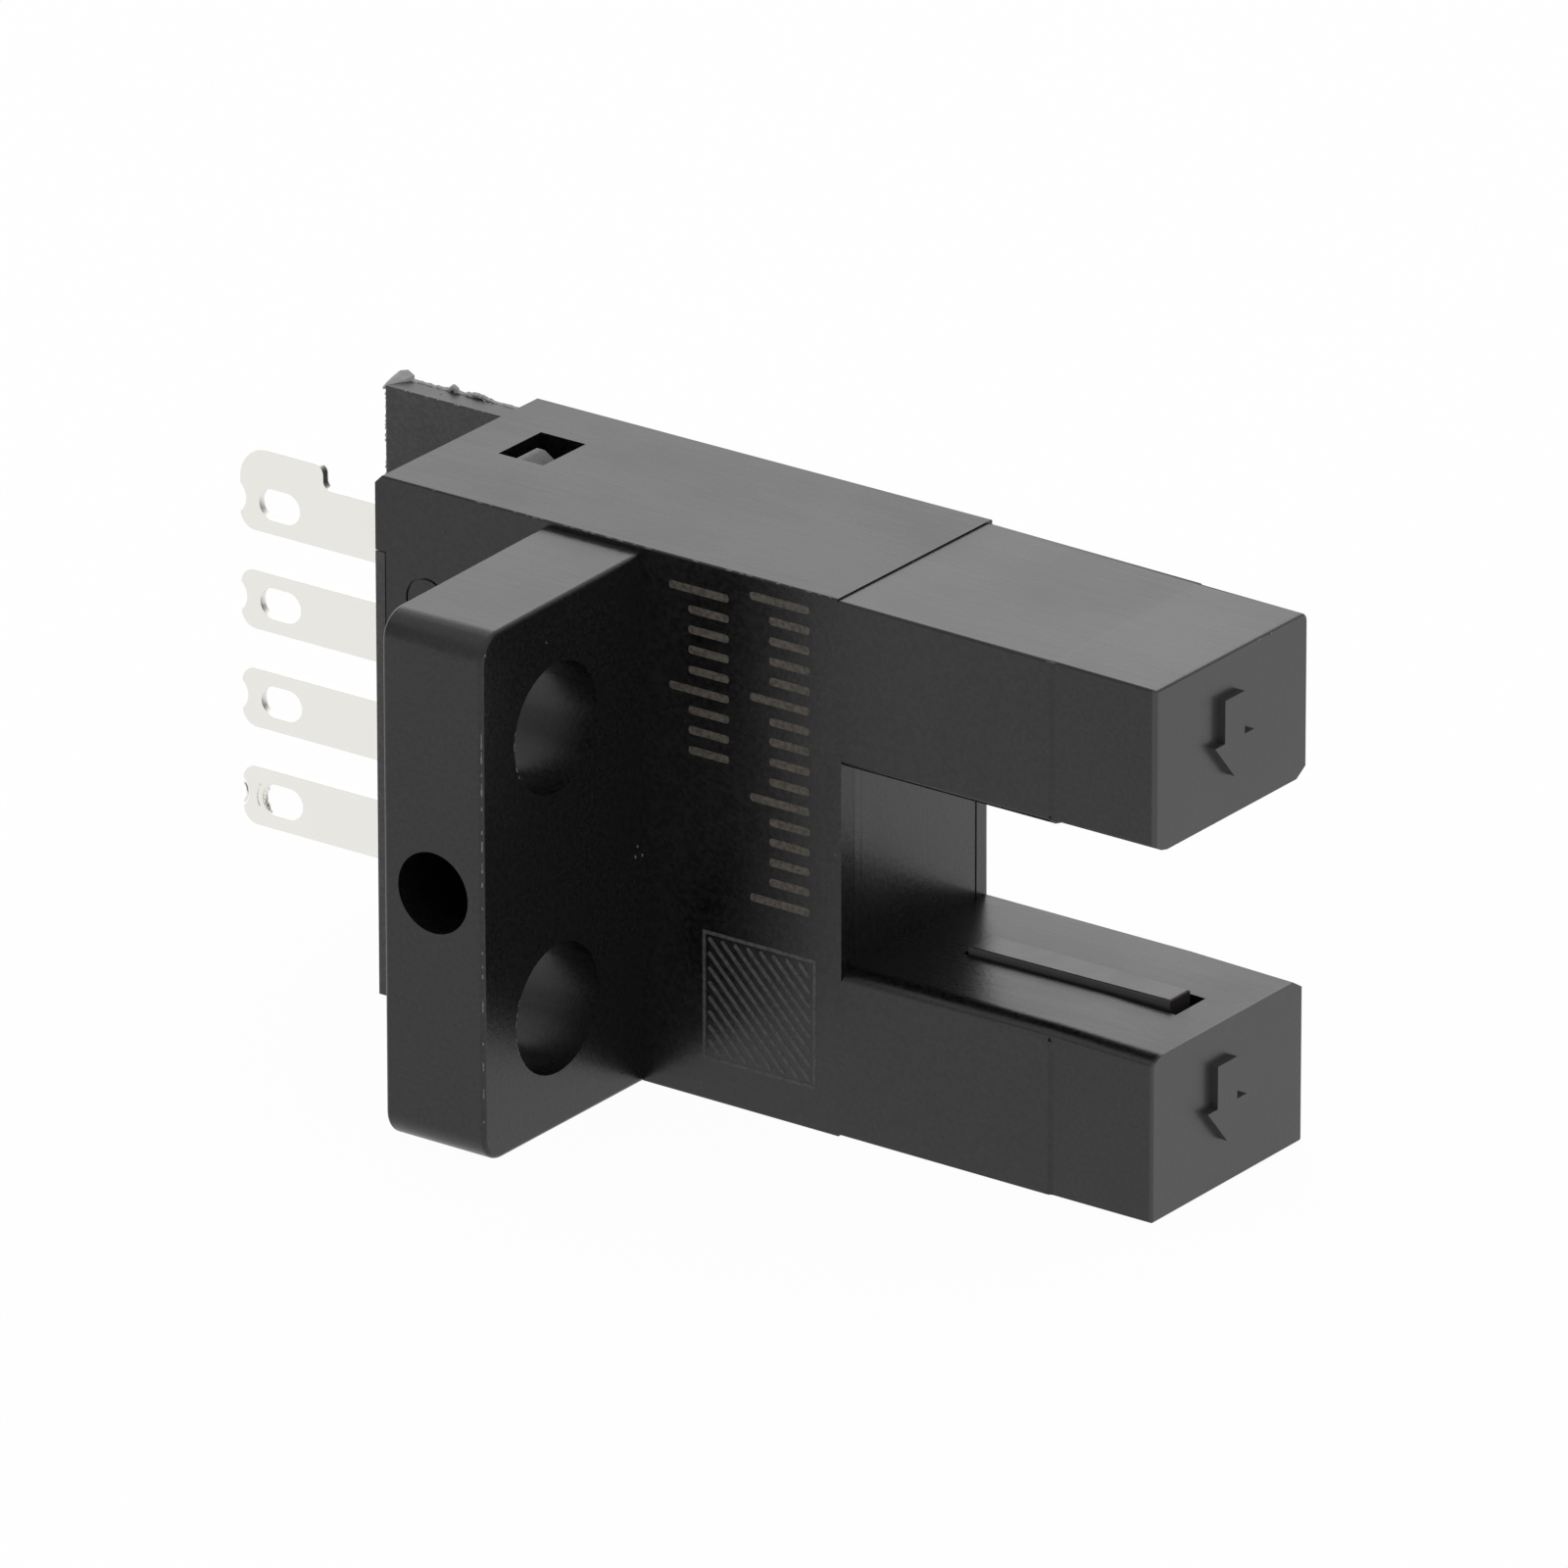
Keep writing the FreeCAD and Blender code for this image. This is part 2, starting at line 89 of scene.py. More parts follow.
azimuth, elevation = math.radians(CAMERA_AZIMUTH), math.radians(CAMERA_ELEVATION)
camera_back = Vector((math.sin(azimuth) * math.cos(elevation),
                      -math.cos(azimuth) * math.cos(elevation), math.sin(elevation)))
camera = bpy.data.objects.new("camera", bpy.data.cameras.new("camera"))
bpy.context.collection.objects.link(camera)
camera.location = CAMERA_TARGET + camera_back * CAMERA_DISTANCE
camera.rotation_euler = turn_of(camera_back, math.radians(CAMERA_ROLL))
camera.data.lens = CAMERA_LENS
camera.data.clip_start, camera.data.clip_end = CLIP_NEAR, CLIP_FAR
bpy.context.scene.camera = camera
bpy.context.scene.view_settings.view_transform = "Standard"
print("camera at", [round(v, 3) for v in camera.location])

# %% [markdown]
# ## Tools for materials
# A colour is written as it looks on a screen, in hex, and turned to the linear values that
# the shader wants. One small function adds any node, sets its values and links its inputs,
# and short functions stand for the few nodes that come back in every material. Patterns are
# given in millimetres: a noise whose spots are d millimetres wide has a scale of 1000 / d,
# because Object coordinates are in metres here.

# %% Colour and node helpers
def colour(hex_code):
    """Screen colour such as "#1a1a1b" as linear red, green, blue and alpha."""
    out = []
    for k in (1, 3, 5):
        c = int(hex_code[k:k + 2], 16) / 255
        out.append(c / 12.92 if c <= 0.04045 else ((c + 0.055) / 1.055) ** 2.4)
    return (*out, 1.0)


def node(tree, kind, settings=None, **inputs):
    """Adds a node. Settings are its own options; inputs are values or sockets to link.
    An input's name may be a number, written with a leading underscore."""
    made = tree.nodes.new(kind)
    for key, value in (settings or {}).items():
        setattr(made, key, value)
    for key, value in inputs.items():
        numbered = key[0] == "_" and key[1:].isdigit()
        socket = made.inputs[int(key[1:]) if numbered else key.replace("_", " ")]
        if isinstance(value, bpy.types.NodeSocket):
            tree.links.new(value, socket)
        else:
            socket.default_value = value
    return made


def per_mm(size):
    """Noise scale for spots of this size in millimetres."""
    return 1000.0 / size


def new_material(name):
    """Material with a Principled shader; returns it, its tree, its shader and coordinates."""
    material = bpy.data.materials.new(name)
    material.use_nodes = True
    tree = material.node_tree
    shader = tree.nodes["Principled BSDF"]
    place = node(tree, "ShaderNodeTexCoord").outputs["Object"]
    return material, tree, shader, place


def spots_of(tree, place, size, detail):
    """Noise with spots of this size in millimetres."""
    return node(tree, "ShaderNodeTexNoise", Vector=place, Scale=per_mm(size),
                Detail=detail).outputs[0]


def ramp(tree, factor, low, high, first, second):
    """Values first to second while factor goes from low to high."""
    return node(tree, "ShaderNodeMapRange", _0=factor, _1=low, _2=high, _3=first,
                _4=second).outputs[0]


def mixed(tree, share, first, second):
    """Colour from first to second while share goes from 0 to 1."""
    return node(tree, "ShaderNodeMix", {"data_type": "RGBA"}, _0=share, _6=first,
                _7=second).outputs[2]


def mixed_value(tree, share, first, second):
    """Number from first to second while share goes from 0 to 1."""
    return node(tree, "ShaderNodeMix", {"data_type": "FLOAT"}, _0=share, _2=first,
                _3=second).outputs[0]


def maths(tree, operation, *values):
    """Result of a math node."""
    inputs = {"_%d" % k: value for k, value in enumerate(values)}
    return node(tree, "ShaderNodeMath", {"operation": operation}, **inputs).outputs[0]


def bumped(tree, height, strength, depth, **below):
    """Normals of a relief whose full height is depth, on top of the relief below."""
    return node(tree, "ShaderNodeBump", Strength=strength, Distance=depth, Height=height,
                **below).outputs[0]


def linked(tree, shader, **sockets):
    """Links sockets to the shader's inputs of these names."""
    for key, socket in sockets.items():
        tree.links.new(socket, shader.inputs[key.replace("_", " ")])


print("a mid grey is", [round(v, 3) for v in colour("#808080")])

# %% [markdown]
# ## Moulded black PBT
# The housing is injection-moulded polybutylene terephthalate with glass fibre: deep black,
# half glossy, with a fine grain where the steel of the mould was spark-eroded. Its colour
# comes almost only from what it mirrors, so roughness does most of the work: a broad
# cloudiness where the melt cooled, fine grain, and long faint drag lines along the way the
# part left its mould. The arms' end faces are etched a little rougher than the rest and get
# painted light that makes them paler; their place is told by X alone. The tops get painted
# light too: a number that the housing's mesh gets further down tells how much paler they are.

# %% Housing material
TIP_END = 17.25                          # x of the arms' end faces, in millimetres
CLOUD_MM, GRAIN_MM, LINE_MM, FLECK_MM = 3.5, 0.11, 0.16, 0.9
LINE_STRETCH = (0.06, 1.0, 1.0)          # drag lines are about 17 times as long as they are wide
# painted light: the second tint makes the end faces paler, the third the tops; the first is pale
# flecks
PALE_FLECK, PAINTED_END_LIGHT, PAINTED_TOP_LIGHT = colour("#3a3938"), colour("#3a3a3c"), colour("#38383a")
PBT_IOR = 1.51


def moulded_pbt(name, tint, grain_tint, gloss, drag):
    """Black moulding; gloss is its roughness, and drag is what a drag line adds to it."""
    material, tree, shader, place = new_material(name)
    cloud = spots_of(tree, place, CLOUD_MM, 3.0)
    grain = spots_of(tree, place, GRAIN_MM, 3.0)
    stretched = node(tree, "ShaderNodeMapping", Vector=place, Scale=LINE_STRETCH).outputs[0]
    lines = spots_of(tree, stretched, LINE_MM, 2.0)
    fleck = node(tree, "ShaderNodeTexVoronoi", Vector=place,
                 Scale=per_mm(FLECK_MM)).outputs["Distance"]
    along = node(tree, "ShaderNodeSeparateXYZ", Vector=place).outputs["X"]
    # the arms' end faces: a little rougher, and paler with painted light
    etched_and_painted_light = ramp(tree, along, (TIP_END - 0.1) * MM, (TIP_END - 0.05) * MM, 0.0, 1.0)
    painted_top_light = node(tree, "ShaderNodeAttribute", {"attribute_name": "painted_top_light"}).outputs["Fac"]

    rough = ramp(tree, cloud, 0.35, 0.65, gloss - 0.02, gloss + 0.03)
    rough = maths(tree, "MULTIPLY_ADD", lines, drag, rough)
    rough = maths(tree, "MULTIPLY_ADD", etched_and_painted_light, 0.04, rough)
    shade = mixed(tree, ramp(tree, grain, 0.35, 0.65, 0.0, 1.0), colour(tint), colour(grain_tint))
    shade = mixed(tree, ramp(tree, fleck, 0.018, 0.03, 1.0, 0.0), shade, PALE_FLECK)
    # painted light: the end faces turn paler
    shade = mixed(tree, etched_and_painted_light, shade, PAINTED_END_LIGHT)
    # painted light: the tops turn paler as far as the mesh attribute says
    shade = mixed(tree, painted_top_light, shade, PAINTED_TOP_LIGHT)
    bumps = bumped(tree, grain, 0.25, 0.012 * MM)
    bumps = bumped(tree, lines, 0.12, 0.02 * MM, Normal=bumps)
    linked(tree, shader, Base_Color=shade, Roughness=rough, Normal=bumps)
    shader.inputs["IOR"].default_value = PBT_IOR
    return material


housing_pbt = moulded_pbt("moulded black PBT", "#040405", "#18181a", 0.24, 0.08)
base_pbt = moulded_pbt("moulded black PBT of the base", "#2b2b2c", "#3b3b3d", 0.30, 0.05)
print("moulding has", len(housing_pbt.node_tree.nodes), "nodes")

# %% [markdown]
# ## Tin-plated copper alloy
# The terminals are stamped from sheet and plated with matt-bright tin. Tin is a pale,
# slightly warm metal; rolling leaves faint lines along the strip and handling leaves a
# cloudy haze. The leads inside have the same plating, and the solder is smoother still.

# %% Metal materials
HAZE_MM = 0.5
ROLL_STRETCH = (0.05, 1.0, 1.0)          # rolling lines run along X


def tinned(name, tint, shade_tint, gloss, line_mm):
    """Metal with haze between two tints and rolling lines of this width."""
    material, tree, shader, place = new_material(name)
    stretched = node(tree, "ShaderNodeMapping", Vector=place, Scale=ROLL_STRETCH).outputs[0]
    lines = spots_of(tree, stretched, line_mm, 3.0)
    haze = spots_of(tree, place, HAZE_MM, 4.0)
    linked(tree, shader, Base_Color=mixed(tree, haze, colour(shade_tint), colour(tint)),
           Roughness=ramp(tree, haze, 0.3, 0.7, gloss, gloss + 0.12),
           Normal=bumped(tree, lines, 0.15, 0.01 * MM))
    shader.inputs["Metallic"].default_value = 1.0
    return material


terminal_tin = tinned("tin-plated terminal strip", "#fbf9f4", "#f1efe9", 0.30, 0.05)
lead_tin = tinned("tin-plated lead frame", "#e2e0da", "#c9c6be", 0.26, 0.04)
solder_alloy = tinned("reflowed solder", "#dedede", "#c8c8ca", 0.16, 0.2)
print("metals:", [metal.name for metal in (terminal_tin, lead_tin, solder_alloy)])

# %% [markdown]
# ## Resins, board and ceramics
# Infrared resin looks almost black but lets a little light through, so it transmits more
# than the moulding does. The board is green solder mask over glass cloth, whose weave shows
# faintly: two waves at right angles are multiplied for it. Moulding compound, glazed chip
# resistors and the tan capacitor are dull, each with its own grain.

# %% Resin and board materials
RESIN_IOR = 1.56
SWIRL_MM, WEAVE_MM = 0.8, 2.4
MASK_GLOSS = 0.28


def clear_resin(name, tint, deep, through, gloss):
    """Resin that lets this share of the light through."""
    material, tree, shader, place = new_material(name)
    swirl = spots_of(tree, place, SWIRL_MM, 2.0)
    linked(tree, shader, Base_Color=mixed(tree, swirl, colour(tint), colour(deep)),
           Roughness=ramp(tree, swirl, 0.3, 0.7, gloss, gloss + 0.06))
    shader.inputs["Transmission Weight"].default_value = through
    shader.inputs["IOR"].default_value = RESIN_IOR
    return material


def filled_compound(name, tint, speck, grain_mm, gloss):
    """Dull compound with grains of filler."""
    material, tree, shader, place = new_material(name)
    grain = spots_of(tree, place, grain_mm, 4.0)
    linked(tree, shader, Base_Color=mixed(tree, grain, colour(tint), colour(speck)),
           Roughness=ramp(tree, grain, 0.3, 0.7, gloss - 0.05, gloss + 0.08),
           Normal=bumped(tree, grain, 0.2, 0.01 * MM))
    return material


def solder_mask(name, tint, thread_tint):
    """Board's lacquer over the weave of its glass cloth."""
    material, tree, shader, place = new_material(name)
    weft, warp = [node(tree, "ShaderNodeTexWave", {"bands_direction": way}, Vector=place,
                       Scale=per_mm(WEAVE_MM)).outputs[1] for way in ("X", "Z")]
    cloth = maths(tree, "MULTIPLY", weft, warp)
    linked(tree, shader, Base_Color=mixed(tree, cloth, colour(tint), colour(thread_tint)),
           Normal=bumped(tree, cloth, 0.2, 0.02 * MM))
    shader.inputs["Roughness"].default_value = MASK_GLOSS
    return material


infrared_resin = clear_resin("infrared-passing resin", "#34302f", "#2a2627", 0.10, 0.26)
emitter_epoxy = clear_resin("pale blue clear epoxy", "#b9c6de", "#a4b4d2", 0.6, 0.12)
receiver_epoxy = clear_resin("smoked epoxy", "#1d1518", "#140f12", 0.1, 0.15)
lamp_resin = clear_resin("red-tinted clear resin", "#e08a80", "#d2766c", 0.5, 0.18)
chip_compound = filled_compound("black moulding compound", "#1f1f20", "#2b2b2c", 0.08, 0.5)
resistor_glaze = filled_compound("black resistor glaze", "#141416", "#202024", 0.2, 0.3)
capacitor_ceramic = filled_compound("tan capacitor ceramic", "#a98660", "#96734f", 0.1, 0.45)
green_board = solder_mask("green solder mask on glass cloth", "#0d4f2b", "#16693a")
print("materials so far:", len(bpy.data.materials))

# %% [markdown]
# ## Finishes on the solids
# Each solid keeps its own mesh and gets its material. What a solid is can be read from its
# name, so one small table of words gives the finish.

# %% Assign the materials
FINISH_BY_WORD = (("solder", solder_alloy), ("_lead_", lead_tin), ("_window", infrared_resin),
                  ("resistor", resistor_glaze), ("capacitor", capacitor_ceramic),
                  ("board", green_board), ("indicator", lamp_resin))
FINISH_BY_NAME = {"case": housing_pbt, "terminal_base": base_pbt, "emitter": emitter_epoxy,
                  "receiver": receiver_epoxy}
TERMINALS = ["terminal_%d" % number for number in (1, 2, 3, 4)]


def finish_of(name):
    """Material for a node, by what it is."""
    for word, material in FINISH_BY_WORD:
        if word in name:
            return material
    return terminal_tin if name in TERMINALS else FINISH_BY_NAME.get(name, chip_compound)


for name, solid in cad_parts.items():
    solid.data.materials.clear()
    solid.data.materials.append(finish_of(name))
print("finished", len(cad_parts), "solids")

# %% [markdown]
# ## Smooth surfaces
# Round corners came in as flat strips. A copy with merged corners and weighted normals
# stands for each outer solid: the strips then shade as one curve while the flat faces stay
# flat. Painted light makes the arms' tops and the flange's top paler, and a number on each
# face says how much, because a face knows where it is and which way it looks. The terminals are
# punched, which rounds the rim on the side where the punch went in, here the far side.

# %% Smoothly shaded copies
MERGE_WITHIN = 0.0005 * MM
ARM_START, TIP_START = 8.4, 14.35        # x where the arms and their tips begin, in millimetres
FLANGE_FRONT, FLANGE_ROOT = 2.85, 3.3    # x of the flange's front face, y where it leaves the body
TOP_ABOVE, SLOT_SIDE = 5.0, 3.0          # z above which a face is a top, z beside the slot
# how much painted light makes the tops of the tips, the arms and the flange paler
TIPS_PAINTED_LIGHT, ARMS_PAINTED_LIGHT, FLANGE_PAINTED_LIGHT = 1.0, 0.7, 0.4
SHARP_DEGREES, FLAT_WEIGHT = 40, 80
ROLL_OVER = 0.08 * MM
PUNCHED_BEHIND = -5 * MM                 # x; nearer to the base the strips are out of sight


def painted_top_light_share(face):
    """How much painted light makes a top face paler: tips most, then arms, then the flange."""
    x, y, z = (v / MM for v in face.center)
    if face.normal.z < 0.9 or z < TOP_ABOVE:
        return 0.0
    if x > ARM_START:
        return TIPS_PAINTED_LIGHT if x > TIP_START else ARMS_PAINTED_LIGHT
    return FLANGE_PAINTED_LIGHT if y < FLANGE_ROOT and 0 < x < FLANGE_FRONT else 0.0


def mesh_copy(name):
    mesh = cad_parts[name].data.copy()
    mesh.name = name + "_surface"
    return mesh


def opened(mesh, join_flats):
    """Mesh as a bmesh with merged corners; join_flats also joins triangles of a flat face."""
    shape = bmesh.new()
    shape.from_mesh(mesh)
    bmesh.ops.remove_doubles(shape, verts=shape.verts, dist=MERGE_WITHIN)
    if join_flats:
        bmesh.ops.dissolve_limit(shape, angle_limit=math.radians(1), verts=shape.verts,
                                 edges=shape.edges)
    return shape


def round_edges(shape, edges, width, steps):
    bmesh.ops.bevel(shape, geom=edges, offset=width, affect="EDGES", segments=steps, profile=0.5,
                    material=-1)


def stand_in(name, mesh):
    """Object that takes the solid's place in the picture."""
    copy = bpy.data.objects.new(name + "_surface", mesh)
    bpy.context.collection.objects.link(copy)
    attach(copy, "root")
    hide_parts(name)
    return copy


def smooth_copy(name, roll_over=0.0):
    """Copy of a solid whose rounded edges shade smoothly. Punched sheet is rounded on its
    far side by roll_over."""
    mesh = mesh_copy(name)
    for kept in ("custom_normal", "sharp_edge", "sharp_face"):
        if kept in mesh.attributes:
            mesh.attributes.remove(mesh.attributes[kept])
    shape = opened(mesh, join_flats=roll_over > 0)
    if roll_over:
        far = max(v.co.y for v in shape.verts)
        rim = [edge for edge in shape.edges if all(far - v.co.y < 0.002 * MM for v in edge.verts)
               and edge.calc_face_angle(0) > 1 and min(v.co.x for v in edge.verts) < PUNCHED_BEHIND]
        round_edges(shape, rim, roll_over, 3)
    shape.to_mesh(mesh)
    shape.free()
    # each top face's share of the painted light that makes it paler
    painted_top_light = mesh.attributes.new("painted_top_light", "FLOAT", "FACE")
    for face in mesh.polygons:
        face.use_smooth = True
        painted_top_light.data[face.index].value = painted_top_light_share(face)
    mesh.set_sharp_from_angle(angle=math.radians(SHARP_DEGREES))
    for edge in mesh.edges:              # where a tip begins, the step is a soft one
        ends = [mesh.vertices[k].co for k in edge.vertices]
        if all(abs(end.x - TIP_START * MM) < 0.001 * MM and abs(end.z) > SLOT_SIDE * MM
               for end in ends):
            edge.use_edge_sharp = False
    weights = stand_in(name, mesh).modifiers.new("flat faces stay flat", "WEIGHTED_NORMAL")
    weights.keep_sharp = True
    weights.weight = FLAT_WEIGHT
    print(name, "surface has", len(mesh.polygons), "faces")


smooth_copy("case")
smooth_copy("terminal_base")
for name in TERMINALS:
    smooth_copy(name, roll_over=ROLL_OVER)

# %% [markdown]
# ## The window bars
# Each arm has a bar of dark infrared resin that stands a little into the slot. Its edges are
# slightly round where the resin pulled back from the mould, and that draws a thin light line
# along it. Operators do this: flat faces are joined, then the edges of the bar's face get a
# bevel with two steps.

# %% Window bars
BAR_FACE = {"emitter_window": 2.52, "receiver_window": -2.12}     # z, in millimetres
BAR_ROUND = 0.045 * MM

for name, level in BAR_FACE.items():
    mesh = mesh_copy(name)
    shape = opened(mesh, join_flats=True)
    rim = [edge for edge in shape.edges
           if all(abs(v.co.z / MM - level) < 0.005 for v in edge.verts)]
    round_edges(shape, rim, BAR_ROUND, 2)
    shape.to_mesh(mesh)
    shape.free()
    stand_in(name, mesh)
    print(name, "rounded", len(rim), "edges")

# %% [markdown]
# ## Laser marks
# Such housings are marked by a laser, which foams the black plastic to a dull grey-brown.
# Here the marks are plain ones: two tick scales and a hatched square. Each tick is a thin
# slab that stands a hair above the face and reaches as deep below it, so it never flickers
# against the face. A tick's corners are round, because the laser's spot is.

# %% Marks: helpers
NEAR_FACE = 3.35                         # y of the housing's near side, in millimetres
MARK_PROUD = 0.006
MARK_ROUND = 0.35                        # a corner's rounding as a share of the bar's width
MARK_GLOSS, BURN_MM = 0.55, 0.12


def new_piece(name, build, material):
    """Object made by build(shape), which draws in millimetres on an empty bmesh."""
    shape = bmesh.new()
    build(shape)
    bmesh.ops.scale(shape, vec=(MM, MM, MM), verts=shape.verts)
    bmesh.ops.recalc_face_normals(shape, faces=shape.faces)
    mesh = bpy.data.meshes.new(name)
    shape.to_mesh(mesh)
    shape.free()
    mesh.materials.append(material)
    piece = bpy.data.objects.new(name, mesh)
    bpy.context.collection.objects.link(piece)
    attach(piece, "root")
    print(name, len(mesh.polygons), "faces")


def add_bar(shape, centre, length, width, turn=0.0):
    """Mark on the near side about centre (x, z): a flat bar, turned by this many degrees."""
    place = (Matrix.Translation((centre[0], NEAR_FACE, centre[1]))
             @ Matrix.Rotation(math.radians(turn), 4, "Y")
             @ Matrix.Diagonal((length, 2 * MARK_PROUD, width, 1)))
    bar = bmesh.ops.create_cube(shape, size=1.0, matrix=place)["verts"]
    corners = {edge for v in bar for edge in v.link_edges
               if abs(edge.verts[0].co.y - edge.verts[1].co.y) > MARK_PROUD}
    round_edges(shape, list(corners), width * MARK_ROUND, 2)


def laser_mark(name, tint, weak_tint):
    """Dull foamed plastic, uneven from spot to spot."""
    material, tree, shader, place = new_material(name)
    burn = spots_of(tree, place, BURN_MM, 3.0)
    strong = ramp(tree, burn, 0.35, 0.6, 0.0, 1.0)
    linked(tree, shader, Base_Color=mixed(tree, strong, colour(weak_tint), colour(tint)),
           Normal=bumped(tree, burn, 0.3, 0.01 * MM))
    shader.inputs["Roughness"].default_value = MARK_GLOSS
    return material


brown_mark = laser_mark("laser-foamed brown mark", "#57524a", "#3b3731")
grey_mark = laser_mark("laser-foamed grey mark", "#4b4b49", "#343433")
print("marks:", brown_mark.name, "and", grey_mark.name)

# %% [markdown]
# A tick scale has a long tick at every fifth place, and all ticks end at the same side.
# The hatched square is a border of four bars with slanting bars inside. A slanting bar's
# length follows from its distance to the square's middle, so each one ends at the border.

# %% Marks: two tick scales and a hatched square
TICK_PITCH, TICK_WIDTH, LONG_TICK, SHORT_TICK, LONG_EVERY = 0.5, 0.2, 1.7, 1.15, 5
SQUARE_CENTRE, SQUARE_SIDE, BORDER_WIDTH = (6.17, -3.85), 3.15, 0.09
HATCH_PITCH, HATCH_WIDTH, HATCH_GAP = 0.26, 0.11, 0.18


def tick_scale(shape, right, top, count):
    """Ticks whose right ends are at x = right, from z = top down."""
    for k in range(count):
        length = SHORT_TICK if k % LONG_EVERY else LONG_TICK
        add_bar(shape, (right - length / 2, top - k * TICK_PITCH), length, TICK_WIDTH)


def hatched_square(shape):
    x, z = SQUARE_CENTRE
    half = SQUARE_SIDE / 2
    for shift in (half, -half):
        add_bar(shape, (x, z + shift), SQUARE_SIDE + BORDER_WIDTH, BORDER_WIDTH)
    for shift in (half, -half):
        add_bar(shape, (x + shift, z), SQUARE_SIDE - BORDER_WIDTH, BORDER_WIDTH, 90)
    reach = half * math.sqrt(2) - HATCH_GAP
    count = int(reach / HATCH_PITCH)
    for k in range(-count, count + 1):
        away = k * HATCH_PITCH
        length = 2 * (reach - abs(away))
        if length > 2 * HATCH_WIDTH:
            slant = away / math.sqrt(2)
            add_bar(shape, (x + slant, z + slant), length, HATCH_WIDTH, 45)


new_piece("long_tick_scale", lambda shape: tick_scale(shape, 7.62, 6.42, 16), brown_mark)
new_piece("short_tick_scale", lambda shape: tick_scale(shape, 5.32, 6.17, 9), brown_mark)
new_piece("hatched_square_mark", hatched_square, grey_mark)

# %% [markdown]
# ## Tools for flash, wear and painted highlights
# Small torn and rubbed places and light edge lines are made of many little grains. A ridge
# is a chain of small uneven balls, each joined to the next by a convex hull. A light edge
# line, painted highlight with some wear, is a row of flat grains with gaps, and a slow noise
# makes it come and go. All of them draw from one seeded generator, so the piece is the same each
# time the lesson runs.

# %% Grains and ridges
random.seed(7)
BALL_ROUGH, CRUMB_ROUGH = 0.2, 0.3       # how much a ball's points go in and out
HIGHLIGHT_AND_WEAR_UNEVEN = 1.6
SCUFF_MM, SCUFF_GLOSS = 0.2, 0.45


def add_ball(shape, centre, radius, rough=BALL_ROUGH):
    """Uneven ball; returns its points."""
    ball = bmesh.ops.create_icosphere(shape, subdivisions=1, radius=radius)["verts"]
    for v in ball:
        v.co *= 1 + random.uniform(-rough, rough)
    bmesh.ops.translate(shape, vec=centre, verts=ball)
    return ball


def add_crumbs(shape, count, box, sizes):
    """Loose balls. For each axis, box gives a place or a range to draw it from."""
    for _ in range(count):
        centre = [random.uniform(*side) if isinstance(side, tuple) else side for side in box]
        add_ball(shape, centre, random.uniform(*sizes), CRUMB_ROUGH)


def close_hull(shape, points):
    """Convex hull of these points, which takes the place of the balls they came from."""
    cloud = [v.co.copy() for v in points]
    bmesh.ops.delete(shape, geom=points, context="VERTS")
    fresh = [shape.verts.new(place) for place in cloud]
    hull = bmesh.ops.convex_hull(shape, input=fresh)
    left_over = hull["geom_interior"] + hull["geom_unused"]
    inside = {part for part in left_over if isinstance(part, bmesh.types.BMVert)}
    bmesh.ops.delete(shape, geom=list(inside), context="VERTS")


def add_ridge(shape, points):
    """Chain of hulls through points, each of them (x, y, z, radius)."""
    for first, last in zip(points, points[1:]):
        close_hull(shape, add_ball(shape, first[:3], first[3]) + add_ball(shape, last[:3], last[3]))


def add_grain(shape, centre, way, length, width, height):
    """Flat grain, longest along way."""
    grain = bmesh.ops.create_icosphere(shape, subdivisions=1, radius=0.5)["verts"]
    for v in grain:
        v.co *= random.uniform(0.8, 1.2)
    turn = way.to_track_quat("X", "Z").to_matrix()
    bmesh.ops.scale(shape, vec=(length, width, height), verts=grain)
    bmesh.ops.rotate(shape, cent=(0, 0, 0), matrix=turn, verts=grain)
    bmesh.ops.translate(shape, vec=centre, verts=grain)


def add_highlight_and_wear(shape, points, width, step, share):
    """Grains along a path; about this share of the steps has one."""
    for first, last in zip(points, points[1:]):
        first, last = Vector(first), Vector(last)
        way = last - first
        count = max(1, round(way.length / step))
        for k in range(count):
            place = first + way * (k + random.random()) / count
            if random.random() < share * (1 + HIGHLIGHT_AND_WEAR_UNEVEN * noise.noise(place * 0.9)):
                size = width * random.uniform(0.7, 1.3)
                add_grain(shape, place, way, step * random.uniform(0.5, 1.6), size, size)


def arc(centre, radius, first, last, steps):
    """Points (across, up) on a circle from angle first to last, in degrees."""
    turns = [math.radians(first + (last - first) * k / steps) for k in range(steps + 1)]
    return [(centre[0] + radius * math.cos(t), centre[1] + radius * math.sin(t)) for t in turns]


def pale_plastic(name, tint, dark_tint):
    """Pale plastic: rubbed and torn places, and painted highlight and painted sheen."""
    material, tree, shader, place = new_material(name)
    patch = spots_of(tree, place, SCUFF_MM, 2.0)
    linked(tree, shader, Base_Color=mixed(tree, patch, colour(dark_tint), colour(tint)))
    shader.inputs["Roughness"].default_value = SCUFF_GLOSS
    return material


# light edge lines: painted highlight with some wear
highlight_and_wear_pbt = pale_plastic("painted highlight and wear on the PBT's edges", "#78787a", "#4a4a4c")
# torn plastic, paler in part as painted sheen
torn_and_sheen_pbt = pale_plastic("torn edge of the PBT with painted sheen", "#b4b4b6", "#8c8c8e")
print("pale plastic:", highlight_and_wear_pbt.name, "and", torn_and_sheen_pbt.name)

# %% [markdown]
# ## Flash on the guard plate
# Where two halves of the mould meet, or where the gate was torn off, a little plastic stays
# behind. On the guard plate beside the terminals it is a curled lip at the rear corner and a
# ragged ridge along the top with two humps. The lip is one hull over a row of balls that
# rises along the corner, and the ridge follows two bell curves. Crumbs lie on the edges.
# Its pale colour is torn plastic and, in part, painted sheen.

